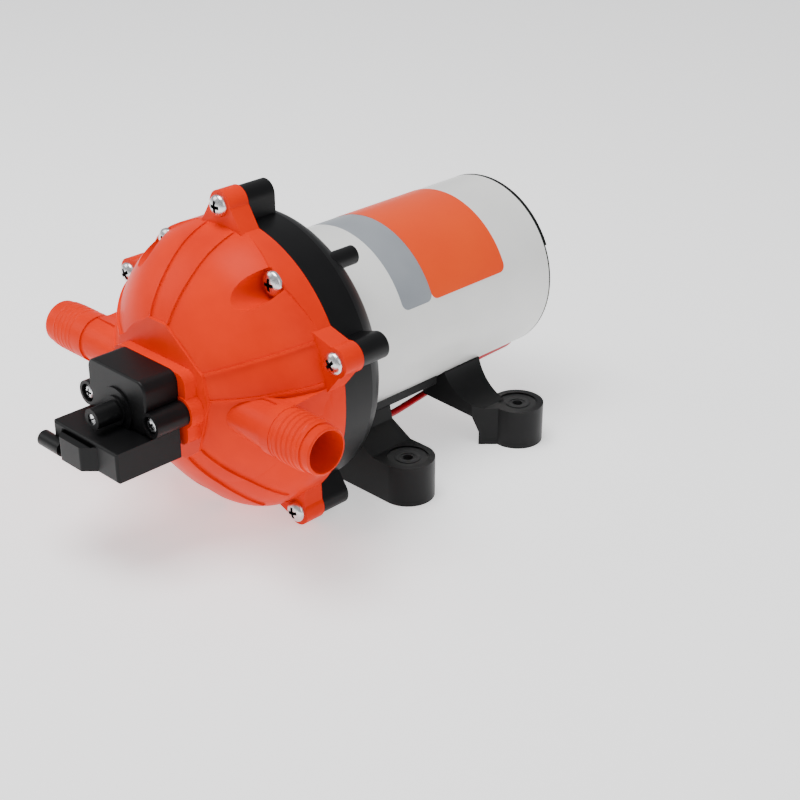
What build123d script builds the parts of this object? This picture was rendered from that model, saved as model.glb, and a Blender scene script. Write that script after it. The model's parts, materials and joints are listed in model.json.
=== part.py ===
"""Caravan water pump: a five-chamber diaphragm pump, its motor, pressure switch and base.

X runs along the two ports, Y along the motor shaft with the switch at the -Y end, and Z is up.
The origin lies on the floor, at the centre of the four foot holes. All lengths are millimetres.
Stations named front and back count along the shaft, from the seats of the five head screws
towards the motor, so what lies in front of the seats is negative.
"""
import os
from math import cos, pi, radians, sin, tan

from build123d import *

# Whole pump
shaft_height = 65.4
foot_spacing_x = 104.0
foot_spacing_y = 73.0
front_foot_back = 54.6
can_radius = 42.1
clearance = 0.35
fit = 0.04
overrun = 3.0
chambers = 5
tilt = 3.5

# Head: flange, dome and the raised front facet
rim_radius = 61.2
head_joint = 9.6
flange_front = -1.0
facet_front = -34.4
head_wall = 3.4
facet_reach = 29.8
facet_corner = 5.6
facet_rise = 0.8
ridge_width = 1.1
ridge_rise = 0.8
ridge_end = 8.6
dome_shares = [(1.0, 0.468), (0.92, 0.568), (0.669, 0.762), (0.392, 0.898), (0.145, 0.966)]
dome_end = 2.6
bulge_shares = [(1.0, 0.410), (0.92, 0.510), (0.669, 0.715), (0.392, 0.885), (0.145, 0.980)]
bulge_drop = 3.6
crest_top = 5.0
crest_front = -2.4
crest_base = 24.0

# Tabs round the rim and the screws that close the pump
tab_reach = 7.8
tab_ring_radius = rim_radius + tab_reach
tab_radius = 6.4
tab_root = 13.0
tab_root_share = 0.962
boss_radius = 5.6
boss_back = 24.3
peg_inset = 4.8
peg_ring_radius = rim_radius - peg_inset
peg_radius = 4.0
peg_back = 41.0
peg_angles = (54, 126, 270)
channel_radius = 6.6
channel_floor = -1.6
screw_head_radius = 5.4
tab_head_radius = 4.7
screw_head_height = 3.2
screw_shank = 2.1
screw_hole = 2.4
screw_reach = 23.0

# Ports
port_back = -22.2
port_drop = 2.2
port_reach = 84.0
inlet_extra = 4.0
port_bore = 8.7
port_bore_depth = 21.0
duct_bore = 7.0
duct_start = 24.0
duct_start_radius = 8.3
duct_radius = 9.9
web_reach = 60.8
web_height = 8.4
web_waist = 7.4
web_waist_back = 6.0
web_rim_height = 8.8
collar_front = 57.0
collar_radius = 10.7
thread_front = 62.2
thread_end = 79.4
thread_radius = 10.45
port_lip_radius = 9.8
port_chamfer = 0.5

# Valve plate, valves and diaphragm
plate_inset = 14.5
plate_radius = rim_radius - plate_inset
plate_front = -4.8
plate_back = 6.4
outlet_chamber = 20.0
chamber_wall = 2.5
annulus_inset = 3.7
annulus_radius = plate_radius - annulus_inset
chamber_ring_share = 0.6
chamber_ring_radius = plate_radius * chamber_ring_share
chamber_share = 0.289
chamber_radius = plate_radius * chamber_share
chamber_floor = -1.6
inlet_ring_share = 0.706
inlet_ring_radius = plate_radius * inlet_ring_share
inlet_hole_ring_radius = 3.6
inlet_hole = 1.5
inlet_holes = 3
outlet_ring_share = 0.377
outlet_ring_radius = plate_radius * outlet_ring_share
outlet_hole = 1.6
valve_disc = 6.2
valve_thickness = 1.0
valve_stem = 1.2
valve_bead = 1.9
outlet_valve_radius = 19.4
outlet_valve_hub = 8.0
outlet_valve_thickness = 1.6
outlet_stem = 2.4
roll_inner = 10.4
roll_depth = 1.7
seal_section = 0.9

# Pistons and wobble plate, drawn on the tilted axis
pad_radius = 9.0
piston_radius = 8.0
piston_thickness = 1.6
piston_screw_head = 3.0
piston_screw_height = 1.5
piston_screw_shank = 1.5
piston_screw_reach = 10.6
drive_pad = 8.5
drive_pad_back = 14.9
wobble_disc_back = 17.9
wobble_lobe = 9.6
wobble_hub = 19.6
lobe_web = 7.0
wobble_back = 27.2

# Cam and ball bearings
cam_bearing_outer = 16.0
cam_bearing_inner = 7.5
cam_bearing_width = 9.0
cam_gap = 0.7
cam_shoulder = 9.4
cam_shoulder_width = 1.4
cam_hub = 8.6
cam_hub_front = 28.0
cam_back = 30.0
cam_weight_radius = 14.0
cam_weight_width = 1.4
motor_bearing_outer = 11.0
motor_bearing_width = 7.0
race_share = 0.3
race_step = 0.5

# Black housing between head and motor
housing_wall_front = 2.0
band_back = 24.6
housing_back = 37.2
shoulder_wall = 5.9
shoulder_radius = can_radius + shoulder_wall
shoulder_mid = 32.8
shoulder_share = 0.652
shoulder_mid_radius = shoulder_radius + (rim_radius - shoulder_radius) * shoulder_share
drive_room_inset = 11.2
drive_room = rim_radius - drive_room_inset
drive_room_back = 28.0
hub_room = 24.0
mount_inset = 10.1
mount_ring_radius = can_radius - mount_inset
mount_screws = 4
mount_screw_head = 3.4
mount_screw_height = 2.2
mount_screw_shank = 1.9

# Motor
can_front = 31.0
can_back = 159.1
can_wall = 2.0
front_plate_width = 3.0
front_boss = 13.6
front_boss_back = 42.0
front_bearing_front = 34.6
shaft_radius = 4.0
shaft_front = 20.6
shaft_back = 157.4
shaft_hole = 5.0
magnet_front = 58.0
magnet_back = 122.0
magnet_thickness = 7.0
magnet_half_angle = 62.0
core_front = 64.0
core_back = 116.0
air_gap = 0.7
core_radius = can_radius - can_wall - magnet_thickness - air_gap
core_slots = 12
slot_inset = 6.4
slot_ring_radius = core_radius - slot_inset
slot_radius = 3.6
slot_mouth = 1.6
coil_radius = 3.3
coil_front = 54.0
coil_back = 124.0
coil_end_inner = 13.0
coil_end_inset = 2.8
coil_end_outer = core_radius - coil_end_inset
commutator_front = 126.0
commutator_back = 143.0
commutator_radius = 12.5
commutator_bars = 12
commutator_cut = 0.6
commutator_cut_depth = 0.7
bolt_inset = 4.9
bolt_ring_radius = can_radius - bolt_inset
bolt_radius = 1.8
bolt_head = 3.4
bolt_head_height = 2.6

# Brush gear and rear cap
card_front = 145.5
card_back = 147.5
card_hole = 12.6
brush_back = 136.0
brush_width = 6.2
brush_depth = 8.2
brush_length = 11.0
holder_wall = 1.6
holder_inner = 14.6
holder_gap = 6.1
holder_outer = can_radius - can_wall - holder_gap
brush_spring_radius = 2.3
spring_wire = 0.35
spring_turns = 4
cap_skirt = 3.0
cap_flange = 1.9
cap_step = 0.9
cap_step_angle = 205.0
cap_plate = 3.0
cap_boss_radius = 15.0
cap_boss_height = 3.6
cap_pocket_radius = 14.2
rear_bearing_front = 149.6

# Pressure switch
switch_drop = 1.6
switch_front = -57.0
switch_rear = -40.8
switch_half_width = 18.6
switch_top = 15.6
switch_corner = 4.6
switch_edge = 0.9
ear_offset = 20.6
ear_radius = 5.3
ear_back = -43.2
ear_end = -41.2
ear_bore = 3.9
ear_bore_depth = 2.2
ear_screw_head = 3.3
ear_screw_height = 1.8
ear_screw_shank = 1.6
ear_screw_reach = 21.4
ring_outer = 9.6
ring_inner = 6.2
ring_step = 0.9
spring_tower = 4.5
tower_front = -69.6
spring_room = 3.7
spring_room_front = -63.0
pad_half_width = 23.0
pad_top = 16.6
pad_bottom = 15.0
ear_boss = 6.6
pressure_hole = 2.0
box_half_width = 21.1
box_front = -74.0
box_top = 7.7
box_bottom = 20.6
box_wall = 1.6
box_edge = 1.2
bump_front = -78.8
bump_left = 15.0
bump_right = 8.2
bump_top = 9.4
bump_bottom = 19.8
bump_corner = 1.6
bump_slot = 1.6
bump_slot_depth = 3.0
gland_radius = 3.4
gland_bore = 1.5
gland_bore_depth = 10.0
gland_reach = 27.0
gland_drop = 17.6
gland_front = -75.2

# Moving pieces of the switch
adjuster_radius = 2.4
adjuster_thread_radius = 1.8
adjuster_inset = 0.6
adjuster_back = -52.6
adjuster_slot = 0.6
adjuster_slot_depth = 1.2
collar_disc = 3.2
collar_width = 1.2
seat_front = -54.4
seat_back = -52.4
seat_radius = 3.3
key_reach = 6.2
key_half = 1.0
key_room_front = -55.9
key_room_back = -51.0
switch_spring_radius = 2.5
switch_spring_back = -46.2
switch_spring_turns = 5
plunger_radius = 5.0
plunger_front = -49.9
plunger_cup = 3.2
plunger_cup_back = -45.0
plunger_travel = 0.8
arm_half_width = 2.6
arm_front = -49.5
arm_back = -47.1
arm_drop = 17.0
switch_diaphragm_radius = 8.4
switch_diaphragm_width = 1.2
diaphragm_flange = 9.8
micro_half_width = 9.0
micro_front = -68.0
micro_back = -54.5
micro_top = 10.8
button_drop = 14.6
button_radius = 1.3
button_front = -55.7
button_room_front = -57.0
terminal_width = 4.8
terminal_thickness = 0.8
terminal_length = 3.8
terminal_offset = 5.0

# Base and feet
saddle_wall = 3.0
saddle_gap = 0.1
saddle_front = 42.8
saddle_back = 124.8
saddle_half_angle = 40.0
foot_radius = 12.0
foot_height = 18.7
bush_radius = 9.0
bush_inset = 0.8
foot_hole = 2.3
bridge_top_x = 29.2
bridge_top_drop = 34.6
bridge_knee_x = 30.6
bridge_knee_drop = 40.6
bridge_slope_x = 42.0
bridge_wall = 3.2
arch_half_width = 17.0
arch_height = 4.2
leg_front = 97.0
leg_inner_x = 21.0
leg_inner_drop = 42.6
leg_arc_x = 30.0
leg_arc_drop = 30.6
leg_waist_x = 34.2
leg_waist_drop = 38.8
leg_foot_x = 46.0
leg_knee_x = 42.0
leg_knee_height = 14.6
leg_heel_x = 44.4
leg_heel_height = 6.6
leg_foot_front = 117.0
base_screw_radius = 2.1
base_screw_head = 3.8
base_screw_height = 2.4
base_screw_reach = 4.9
base_screw_stations = (49.0, 104.0)

# Red lead from the switch to the motor
lead_radius = 1.6
grommet_radius = 3.6
grommet_length = 3.0
grommet_x = 12.0
grommet_drop = 25.0
lead_points = [
    (-8.2, -70.7, -12.6),
    (-27.0, -70.7, -12.6),
    (-28.0, -54.0, -19.0),
    (-41.0, -30.0, -31.0),
    (-54.6, -8.0, -41.0),
    (-54.8, 20.0, -41.2),
    (-53.0, 39.9, -40.6),
    (-22.0, 39.9, -44.0),
    (10.0, 40.2, -46.0),
    (12.2, 58.0, -51.2),
    (12.2, 86.0, -51.8),
    (12.0, 114.0, -48.4),
    (11.8, 142.0, -43.2),
    (11.8, 171.6, -42.4),
    (12.0, 171.6, -25.0),
    (12.0, 160.0, -25.0),
]
lead_radii = [6.5, 22.0, 30.0, 24.0, 60.0, 8.0, 60.0, 8.0, 40.0, 60.0, 60.0, 60.0, 7.8, 7.8]

# Label round the can
label_front = 64.6
label_back = 131.0
label_half_angle = 71.0
label_thickness = 0.25
label_glue = 0.05

seat_y = -(front_foot_back + foot_spacing_y / 2)
shaft_line = Axis((0, 0, shaft_height), (0, 1, 0))
tab_angle = 90
pivot = (plate_back + head_joint) / 2
axis_way = Vector(0, cos(radians(tilt)), sin(radians(tilt)))


def across(back, drop=0):
    """Plane across the shaft, seen from the front, so a positive extrusion runs forward."""
    return Plane((0, seat_y + back, shaft_height - drop), x_dir=(1, 0, 0), z_dir=(0, -1, 0))


def along(x=0):
    """Plane along the shaft: x is the station, y the height above the shaft."""
    return Plane((x, seat_y, shaft_height), x_dir=(0, 1, 0), z_dir=(1, 0, 0))


def level(drop):
    """Level plane below the shaft: x to the right port, y along the shaft."""
    return Plane((0, seat_y, shaft_height - drop))


def tilted(back):
    """Plane across the tilted axis of the wobble plate, which crosses the shaft at the pivot."""
    origin = Vector(0, seat_y + pivot, shaft_height) + axis_way * (back - pivot)
    return Plane(origin, x_dir=(1, 0, 0), z_dir=-axis_way)


def turned(x, y, angle):
    """The point x, y of a cross-section, turned about the shaft."""
    a = radians(angle)
    return (x * cos(a) - y * sin(a), x * sin(a) + y * cos(a))


def disc(plane_at, front, back, radius, hole=0, mode=Mode.ADD):
    """Round slab between two stations, with an optional hole."""
    with BuildSketch(plane_at(back)) as outline:
        Circle(radius)
        if hole:
            Circle(hole, mode=Mode.SUBTRACT)
    extrude(outline.sketch, amount=back - front, mode=mode)


def pegs(plane_at, front, back, ring, radius, count, start=tab_angle, mode=Mode.ADD):
    """A ring of round pegs or holes between two stations."""
    with BuildSketch(plane_at(back)) as outline:
        with PolarLocations(ring, count, start_angle=start):
            Circle(radius)
    extrude(outline.sketch, amount=back - front, mode=mode)


def peg_row(front, back, radius, spots, drop=0, mode=Mode.ADD):
    """Round pegs or holes at given places of one cross-section."""
    with BuildSketch(across(back, drop)) as outline:
        with Locations(*spots):
            Circle(radius)
    extrude(outline.sketch, amount=back - front, mode=mode)


def turn_profile(points, plane=None, axis=shaft_line, mode=Mode.ADD):
    """Revolve a straight-sided profile of stations and radii."""
    with BuildSketch(plane or along()) as outline:
        with BuildLine():
            Polyline(*points, close=True)
        make_face()
    revolve(outline.sketch, axis=axis, mode=mode)


def save(built, name):
    """Label a finished piece and write it."""
    built.part.label = name
    export_step(built.part, "parts/" + name + ".step")


def pan_screws(name, seat, spots, head, height, shank, reach, drop=0):
    """Screws along the shaft with rounded heads in front of their seat."""
    with BuildPart() as screws:
        peg_row(seat - height, seat, head, spots, drop)
        fillet(screws.edges().group_by(Axis.Y)[0], height * crown_share)
        peg_row(seat, seat + reach, shank, spots, drop)
    save(screws, name)


def ball_bearing(name, plane_at, front, width, outer, inner):
    """Closed ball bearing whose two faces step in between the races."""
    race = (outer - inner) * race_share
    with BuildPart() as bearing:
        disc(plane_at, front, front + width, outer, inner)
        for start in (front, front + width - race_step):
            disc(plane_at, start, start + race_step, outer - race, inner + race, Mode.SUBTRACT)
    save(bearing, name)


crown_share = 0.8
os.makedirs("parts", exist_ok=True)
ring_spots = [turned(tab_ring_radius, 0, tab_angle + 360 / chambers * i) for i in range(chambers)]
peg_spots = [turned(peg_ring_radius, 0, angle) for angle in peg_angles]
ear_spots = [(ear_offset, 0), (-ear_offset, 0)]


def along_spot(spot):
    """Plane along the shaft through a spot of the cross-section, and the line of that spot."""
    line = Axis((spot[0], 0, shaft_height + spot[1]), (0, 1, 0))
    return Plane((spot[0], seat_y, line.position.Z), x_dir=(0, 1, 0), z_dir=(1, 0, 0)), line


def dome_solid(shares, drop, grow):
    """A turned dome from the rim to the facet, grown outwards by a little."""
    line = [(dome_end, rim_radius + grow)]
    for depth, radius in reversed(shares):
        line.append((facet_front * depth - grow * depth, rim_radius * radius + grow))
    plane, centre_line = along_spot((0, -drop))
    with BuildSketch(plane) as outline:
        with BuildLine():
            Spline(*line)
            Polyline(line[-1], (line[-1][0], 0), (dome_end, 0), line[0])
        make_face()
    revolve(outline.sketch, axis=centre_line)


def whole_dome(grow):
    """The round dome with the lower bulge towards the feet."""
    with BuildPart() as dome:
        dome_solid(dome_shares, 0, grow)
        dome_solid(bulge_shares, bulge_drop, grow)
    return dome.part


def facet_corners():
    """The ten corners of the front facet: a pentagon with a short side towards each tab."""
    corners = []
    for i in range(chambers):
        angle = tab_angle + 360 / chambers * i
        corners.append(turned(facet_reach, -facet_corner, angle))
        corners.append(turned(facet_reach, facet_corner, angle))
    return corners


def tab_sketch(radius, root):
    """Five rounded tabs that grow out of the rim."""
    with PolarLocations(tab_ring_radius, chambers, start_angle=tab_angle):
        Circle(radius)
    for i in range(chambers):
        angle = tab_angle + 360 / chambers * i
        flare = [(tab_ring_radius, radius), (tab_ring_radius, -radius),
                 (rim_radius * tab_root_share, -root), (rim_radius * tab_root_share, root)]
        Polygon(*[turned(x, y, angle) for x, y in flare], align=None)


# Pump head with its dome, ridges, tabs, ports and switch pad
with BuildPart() as ridges:
    with BuildSketch(across(flange_front)):
        for i in range(chambers):
            for side in (1, -1):
                angle = tab_angle + 360 / chambers * i
                strip = [(facet_reach, side * facet_corner + ridge_width / 2),
                         (facet_reach, side * facet_corner - ridge_width / 2),
                         (rim_radius, side * ridge_end - ridge_width / 2),
                         (rim_radius, side * ridge_end + ridge_width / 2)]
                Polygon(*[turned(x, y, angle) for x, y in strip], align=None)
    extrude(amount=flange_front - facet_front)
    add(whole_dome(ridge_rise), mode=Mode.INTERSECT)

# Flat crests that carry the rim's edge forward over the three inner screws
with BuildPart() as crests:
    for spot in peg_spots:
        spot_plane, spot_line = along_spot(spot)
        turn_profile([(crest_front, 0), (crest_front, crest_top), (dome_end, crest_base),
                      (dome_end, 0)], spot_plane, spot_line)
    disc(across, crest_front, dome_end, rim_radius, mode=Mode.INTERSECT)

with BuildPart() as pump_head:
    add(whole_dome(0))
    add(crests.part)
    disc(across, dome_end, head_joint, rim_radius)
    peg_row(dome_end, head_joint, rim_radius, [(0, -bulge_drop)])
    with BuildSketch(across(head_joint)):
        tab_sketch(tab_radius, tab_root)
    extrude(amount=head_joint)
    add(ridges.part)
    with BuildSketch(across(facet_front + head_wall)):
        Polygon(*facet_corners(), align=None)
    extrude(amount=head_wall + facet_rise)
    # Switch pad with its two ear bosses
    with BuildSketch(across(facet_front, switch_drop)):
        with Locations((0, (pad_top - pad_bottom) / 2)):
            RectangleRounded(2 * pad_half_width, pad_top + pad_bottom, switch_corner)
    extrude(amount=facet_front - switch_rear)
    peg_row(ear_end, facet_front, ear_boss, ear_spots, switch_drop)
    # Ducts, collars and the plain sleeves that carry the threads
    for way in (1, -1):
        port_line = Axis((0, seat_y + port_back, shaft_height - port_drop), (way, 0, 0))
        port_plane = Plane(port_line.position, x_dir=(way, 0, 0), z_dir=(0, -way, 0))
        extra = inlet_extra if way < 0 else 0
        sleeve = [(collar_front, duct_radius), (collar_front, collar_radius),
                  (thread_front, collar_radius), (thread_front, thread_radius),
                  (thread_end, thread_radius), (thread_end, port_lip_radius),
                  (port_reach - port_chamfer, port_lip_radius),
                  (port_reach, port_lip_radius - port_chamfer), (port_reach, 0)]
        turn_profile([(duct_start, 0), (duct_start, duct_start_radius)]
                     + [(x + extra, radius) for x, radius in sleeve], port_plane, port_line)
        # Web from the duct back to the rim
        with BuildSketch(along(way * web_reach)):
            Polygon((port_back, -port_drop), (port_back, web_height),
                    (port_back + web_waist_back, web_waist), (dome_end, web_rim_height),
                    (dome_end, -port_drop), align=None)
        extrude(amount=-way * (web_reach - annulus_radius))
    # Recess for the valve plate, outlet chamber in the middle, inlet chamber round it
    disc(across, plate_front, head_joint, plate_radius + clearance, mode=Mode.SUBTRACT)
    disc(across, facet_front + head_wall, plate_front, outlet_chamber, mode=Mode.SUBTRACT)
    inlet_room = [(plate_front, outlet_chamber + chamber_wall), (plate_front, annulus_radius)]
    for depth, radius in reversed(dome_shares[:4]):
        inlet_room.append((facet_front * depth + head_wall,
                           min(annulus_radius, rim_radius * radius - head_wall * crown_share)))
    inlet_room.append((facet_front + head_wall, outlet_chamber + chamber_wall))
    turn_profile(inlet_room, mode=Mode.SUBTRACT)
    disc(across, plate_front - seal_section, plate_front, annulus_radius + chamber_wall,
         annulus_radius, Mode.SUBTRACT)
    # The outlet duct crosses the inlet chamber in a tube of its own
    outlet_plane = Plane((annulus_radius, seat_y + port_back, shaft_height - port_drop),
                         x_dir=(0, 1, 0), z_dir=(-1, 0, 0))
    with BuildSketch(outlet_plane):
        Circle(duct_start_radius)
    extrude(amount=annulus_radius - outlet_chamber)
    for reach, depth in ((port_reach, port_reach - outlet_chamber + chamber_wall + overrun),
                         (-port_reach - inlet_extra,
                          port_reach + inlet_extra - annulus_radius + head_wall + overrun)):
        way = 1 if reach > 0 else -1
        mouth = Plane((reach, seat_y + port_back, shaft_height - port_drop),
                      x_dir=(0, 1, 0), z_dir=(-way, 0, 0))
        with BuildSketch(mouth):
            Circle(duct_bore)
        extrude(amount=depth, mode=Mode.SUBTRACT)
        with BuildSketch(mouth):
            Circle(port_bore)
        extrude(amount=port_bore_depth, mode=Mode.SUBTRACT)
    # Channels over the inner screws, room for screw heads, screw holes and pressure passage
    peg_row(-screw_head_height - overrun, 0, screw_head_radius + clearance, ring_spots,
            mode=Mode.SUBTRACT)
    peg_row(facet_front - overrun, channel_floor, channel_radius, peg_spots, mode=Mode.SUBTRACT)
    peg_row(-overrun, head_joint, screw_hole, ring_spots + peg_spots, mode=Mode.SUBTRACT)
    peg_row(ear_end, facet_front + head_wall / 2, ear_screw_shank, ear_spots, switch_drop,
            Mode.SUBTRACT)
    peg_row(switch_rear, facet_front + head_wall, pressure_hole, [(0, 0)], switch_drop,
            Mode.SUBTRACT)
save(pump_head, "pump_head")

# Valve plate: five pump chambers at the back, inlet and outlet holes through the web
with BuildPart() as valve_plate:
    disc(across, plate_front, plate_back, plate_radius)
    pegs(across, chamber_floor, plate_back, chamber_ring_radius, chamber_radius, chambers,
         mode=Mode.SUBTRACT)
    pegs(across, plate_front, chamber_floor, outlet_ring_radius, outlet_hole, chambers,
         mode=Mode.SUBTRACT)
    pegs(across, plate_front, chamber_floor, inlet_ring_radius, valve_stem, chambers,
         mode=Mode.SUBTRACT)
    for i in range(chambers):
        centre = turned(inlet_ring_radius, 0, tab_angle + 360 / chambers * i)
        spots = [(centre[0] + turned(inlet_hole_ring_radius, 0, 360 / inlet_holes * k)[0],
                  centre[1] + turned(inlet_hole_ring_radius, 0, 360 / inlet_holes * k)[1])
                 for k in range(inlet_holes)]
        peg_row(plate_front, chamber_floor, inlet_hole, spots, mode=Mode.SUBTRACT)
    peg_row(plate_front, plate_back, outlet_stem, [(0, 0)], mode=Mode.SUBTRACT)
save(valve_plate, "valve_plate")

# Five umbrella valves that open into the chambers
with BuildPart() as inlet_valves:
    pegs(across, chamber_floor, chamber_floor + valve_thickness, inlet_ring_radius, valve_disc, chambers)
    pegs(across, plate_front, chamber_floor, inlet_ring_radius, valve_stem, chambers)
    pegs(across, plate_front - valve_thickness, plate_front, inlet_ring_radius, valve_bead, chambers)
save(inlet_valves, "inlet_valves")

# One outlet valve: a petalled rubber disc over the five outlet holes
with BuildPart() as outlet_valve:
    disc(across, plate_front - outlet_valve_thickness, plate_front, outlet_valve_radius)
    with BuildSketch(across(plate_front)):
        with PolarLocations(outlet_valve_hub, chambers, start_angle=tab_angle + 180 / chambers):
            Rectangle(outlet_valve_radius, valve_thickness, align=(Align.MIN, Align.CENTER))
    extrude(amount=outlet_valve_thickness, mode=Mode.SUBTRACT)
    disc(across, plate_front, plate_back, outlet_stem)
    disc(across, plate_front - 2 * outlet_valve_thickness, plate_front - outlet_valve_thickness,
         outlet_valve_hub)
save(outlet_valve, "outlet_valve")

# Diaphragm: a rubber disc with a thinned roll round each piston
with BuildPart() as diaphragm:
    disc(across, plate_back, head_joint, plate_radius)
    with BuildSketch(across(head_joint)):
        with PolarLocations(chamber_ring_radius, chambers, start_angle=tab_angle):
            Circle(chamber_radius - clearance)
            Circle(roll_inner, mode=Mode.SUBTRACT)
    extrude(amount=roll_depth, mode=Mode.SUBTRACT)
    pegs(across, plate_back, head_joint, chamber_ring_radius, pad_radius + 2 * clearance, chambers,
         mode=Mode.SUBTRACT)
save(diaphragm, "diaphragm")

# The five middles of the diaphragm, clamped between the pistons and the wobble plate
with BuildPart() as diaphragm_pads:
    pegs(tilted, plate_back, head_joint, chamber_ring_radius, pad_radius, chambers)
    pegs(tilted, plate_back, head_joint, chamber_ring_radius, piston_screw_shank, chambers,
         mode=Mode.SUBTRACT)
save(diaphragm_pads, "diaphragm_pads")

with BuildPart() as pistons:
    pegs(tilted, plate_back - piston_thickness, plate_back, chamber_ring_radius, piston_radius, chambers)
    pegs(tilted, plate_back - piston_thickness, plate_back, chamber_ring_radius, piston_screw_shank,
         chambers, mode=Mode.SUBTRACT)
save(pistons, "pistons")

with BuildPart() as piston_screws:
    piston_front = plate_back - piston_thickness
    pegs(tilted, piston_front - piston_screw_height, piston_front, chamber_ring_radius,
         piston_screw_head, chambers)
    pegs(tilted, piston_front, piston_front + piston_screw_reach, chamber_ring_radius,
         piston_screw_shank, chambers)
save(piston_screws, "piston_screws")

# Wobble plate: five drive pads on arms round the bearing hub
with BuildPart() as wobble_plate:
    with BuildSketch(tilted(wobble_disc_back)) as star:
        Circle(wobble_hub)
        with PolarLocations(chamber_ring_radius, chambers, start_angle=tab_angle):
            Circle(wobble_lobe)
        with PolarLocations(0, chambers, start_angle=tab_angle):
            Rectangle(chamber_ring_radius, 2 * lobe_web, align=(Align.MIN, Align.CENTER))
    extrude(amount=wobble_disc_back - drive_pad_back)
    pegs(tilted, head_joint, drive_pad_back, chamber_ring_radius, drive_pad, chambers)
    disc(tilted, wobble_disc_back, wobble_back, wobble_hub, cam_bearing_outer + fit)
    pegs(tilted, head_joint, piston_front + piston_screw_reach, chamber_ring_radius, piston_screw_shank,
         chambers, mode=Mode.SUBTRACT)
save(wobble_plate, "wobble_plate")

bearing_front = wobble_disc_back + clearance / 2
ball_bearing("cam_bearing", tilted, bearing_front, cam_bearing_width, cam_bearing_outer,
             cam_bearing_inner + fit)

# Cam: a tilted journal on a straight hub, with a balance weight opposite
with BuildPart() as cam:
    disc(tilted, bearing_front + cam_gap, bearing_front + cam_bearing_width, cam_bearing_inner)
    disc(tilted, bearing_front + cam_bearing_width,
         bearing_front + cam_bearing_width + cam_shoulder_width, cam_shoulder)
    disc(across, cam_hub_front, cam_back, cam_hub)
    with BuildSketch(across(cam_back)):
        Circle(cam_weight_radius)
        with Locations((0, cam_weight_radius)):
            Rectangle(2 * cam_weight_radius, 2 * cam_weight_radius, mode=Mode.SUBTRACT)
    extrude(amount=cam_weight_width)
    disc(across, shaft_front - overrun, cam_back + overrun, shaft_radius + fit,
         mode=Mode.SUBTRACT)
save(cam, "cam")

# Black housing: bosses behind the tabs, stepped band, shoulder and socket for the motor
with BuildPart() as housing:
    with BuildSketch(along()):
        with BuildLine():
            Polyline((housing_back, 0), (head_joint, 0), (head_joint, rim_radius),
                     (band_back, rim_radius))
            ThreePointArc((band_back, rim_radius), (shoulder_mid, shoulder_mid_radius),
                          (housing_back, shoulder_radius))
            Line((housing_back, shoulder_radius), (housing_back, 0))
        make_face()
    revolve(axis=shaft_line)
    with BuildSketch(across(boss_back)):
        tab_sketch(boss_radius, boss_radius)
    extrude(amount=boss_back - head_joint)
    peg_row(head_joint, peg_back, peg_radius, peg_spots)
    disc(across, head_joint + housing_wall_front, drive_room_back, drive_room,
         mode=Mode.SUBTRACT)
    pegs(across, head_joint, head_joint + housing_wall_front, chamber_ring_radius, chamber_radius,
         chambers, mode=Mode.SUBTRACT)
    disc(across, drive_room_back, can_front, hub_room, mode=Mode.SUBTRACT)
    disc(across, can_front, housing_back, can_radius + fit, mode=Mode.SUBTRACT)
    pegs(across, drive_room_back, can_front, mount_ring_radius, mount_screw_shank, mount_screws,
         start=tab_angle / 2, mode=Mode.SUBTRACT)
    peg_row(head_joint, screw_reach, screw_shank, ring_spots, mode=Mode.SUBTRACT)
    peg_row(head_joint, channel_floor + screw_reach, screw_shank, peg_spots, mode=Mode.SUBTRACT)
save(housing, "housing")

pan_screws("tab_screws", 0, ring_spots, tab_head_radius, screw_head_height, screw_shank,
           screw_reach)
pan_screws("channel_screws", channel_floor, peg_spots, screw_head_radius, screw_head_height,
           screw_shank, screw_reach)

mount_spots = [turned(mount_ring_radius, 0, tab_angle / 2 + 360 / mount_screws * i)
               for i in range(mount_screws)]
pan_screws("motor_screws", drive_room_back, mount_spots, mount_screw_head, mount_screw_height,
           mount_screw_shank, can_front - drive_room_back + front_plate_width)

# Motor can and its steel front plate
with BuildPart() as motor_can:
    disc(across, can_front, can_back, can_radius, can_radius - can_wall)
    for back in base_screw_stations:
        with BuildSketch(level(can_radius + overrun)):
            with Locations((0, back)):
                Circle(base_screw_radius)
        extrude(amount=can_wall + 2 * overrun, mode=Mode.SUBTRACT)
save(motor_can, "motor_can")

plate_rim = can_radius - can_wall - fit
with BuildPart() as front_plate:
    disc(across, can_front, can_front + front_plate_width, plate_rim)
    disc(across, can_front, front_boss_back, front_boss)
    disc(across, front_bearing_front, front_boss_back, motor_bearing_outer + fit,
         mode=Mode.SUBTRACT)
    disc(across, can_front, front_bearing_front, shaft_hole, mode=Mode.SUBTRACT)
    pegs(across, can_front, can_front + front_plate_width, mount_ring_radius, mount_screw_shank,
         mount_screws, start=tab_angle / 2, mode=Mode.SUBTRACT)
    pegs(across, can_front, can_front + front_plate_width, bolt_ring_radius, bolt_radius, 2,
         mode=Mode.SUBTRACT)
save(front_plate, "front_plate")

ball_bearing("front_bearing", across, front_bearing_front, motor_bearing_width,
             motor_bearing_outer, shaft_radius + fit)
ball_bearing("rear_bearing", across, rear_bearing_front, motor_bearing_width,
             motor_bearing_outer, shaft_radius + fit)

# Two curved magnets at the sides
magnet_outer = plate_rim
with BuildPart() as magnets:
    with BuildSketch(across(magnet_back)):
        Circle(magnet_outer)
        Circle(magnet_outer - magnet_thickness, mode=Mode.SUBTRACT)
        gap_reach = magnet_outer + overrun
        for way in (1, -1):
            gap_half = gap_reach * tan(radians(tab_angle - magnet_half_angle))
            Polygon((0, 0), (gap_half, way * gap_reach), (-gap_half, way * gap_reach),
                    align=None, mode=Mode.SUBTRACT)
    extrude(amount=magnet_back - magnet_front)
save(magnets, "magnets")

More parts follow.
